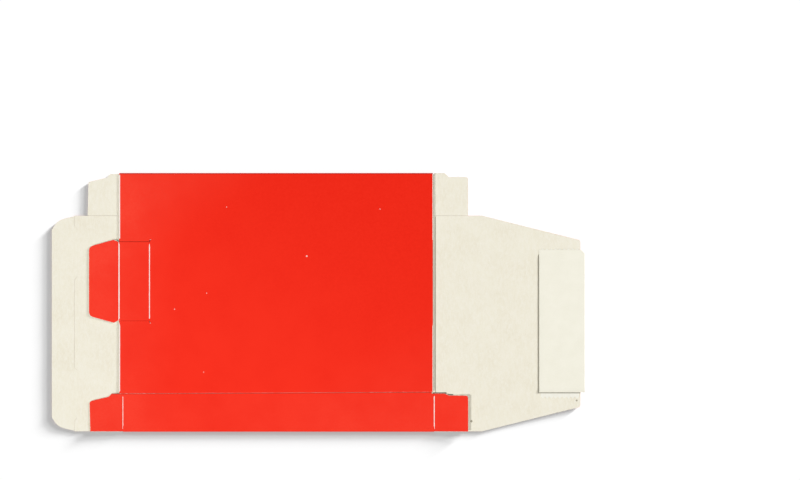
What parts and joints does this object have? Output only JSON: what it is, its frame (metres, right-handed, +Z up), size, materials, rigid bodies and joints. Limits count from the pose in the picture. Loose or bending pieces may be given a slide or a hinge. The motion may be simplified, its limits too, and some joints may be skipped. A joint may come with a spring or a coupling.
{
  "type": "cardboard mailer box",
  "caption": "Self-seal mailer carton of red-faced solid board, glued as a tube and lying flat, with end walls, dust flaps, a slotted tuck flap and a taped closing flap.",
  "frame": {"origin": "centre of the flat carton's bounding box, on the surface it lies on", "axes": "+X along the carton from the tuck flap to the closing flap, +Y from the glued lower side to the upper side, +Z up through the front panel"},
  "size_m": [0.2694, 0.1308, 0.0018],
  "materials": {
    "printed_board": "satin red coating on solid board",
    "bare_board": "uncoated pale inside of the board",
    "tape": "dull adhesive transfer tape",
    "liner": "smooth siliconised paper"
  },
  "bodies": {
    "carton": {"carton_body": "printed_board"},
    "tuck": {"tuck_flap": "bare_board"},
    "tongue_base": {"lock_tongue_base": "printed_board"},
    "tongue_tip": {"lock_tongue_tip": "printed_board"},
    "upper_left_dust": {"upper_left_dust_flap": "bare_board"},
    "lower_left_dust": {"lower_left_dust_flap": "printed_board"},
    "upper_right_dust": {"upper_right_dust_flap": "bare_board"},
    "lower_right_dust": {"lower_right_dust_flap": "printed_board"},
    "closing": {"closing_flap": "bare_board", "adhesive_strip": "tape", "release_liner": "liner"}
  },
  "joints": [
    {"name": "tuck_crease", "type": "hinge", "parent": "carton", "child": "tuck", "pos_m": [-0.1219, -0.0107, 0.00055], "axis": [0, 1, 0], "range_deg": [0, 90]},
    {"name": "tongue_base_crease", "type": "hinge", "parent": "carton", "child": "tongue_base", "pos_m": [-0.0852, 0.0107, 0.00175], "axis": [0, 1, 0], "range_deg": [0, 90]},
    {"name": "tongue_tip_crease", "type": "hinge", "parent": "tongue_base", "child": "tongue_tip", "pos_m": [-0.1006, 0.0107, 0.00175], "axis": [0, 1, 0], "range_deg": [0, 90]},
    {"name": "upper_left_dust_crease", "type": "hinge", "parent": "carton", "child": "upper_left_dust", "pos_m": [-0.1007, 0.0545, 0.00055], "axis": [0, 1, 0], "range_deg": [0, 90]},
    {"name": "lower_left_dust_crease", "type": "hinge", "parent": "carton", "child": "lower_left_dust", "pos_m": [-0.0987, -0.0555, 0.0012], "axis": [0, 1, 0], "range_deg": [0, 90]},
    {"name": "upper_right_dust_crease", "type": "hinge", "parent": "carton", "child": "upper_right_dust", "pos_m": [0.0586, 0.0545, 0.00055], "axis": [0, -1, 0], "range_deg": [0, 90]},
    {"name": "lower_right_dust_crease", "type": "hinge", "parent": "carton", "child": "lower_right_dust", "pos_m": [0.0587, -0.0555, 0.0012], "axis": [0, -1, 0], "range_deg": [0, 90]},
    {"name": "closing_crease", "type": "hinge", "parent": "carton", "child": "closing", "pos_m": [0.0821, -0.0107, 0.00055], "axis": [0, -1, 0], "range_deg": [0, 90]}
  ]
}
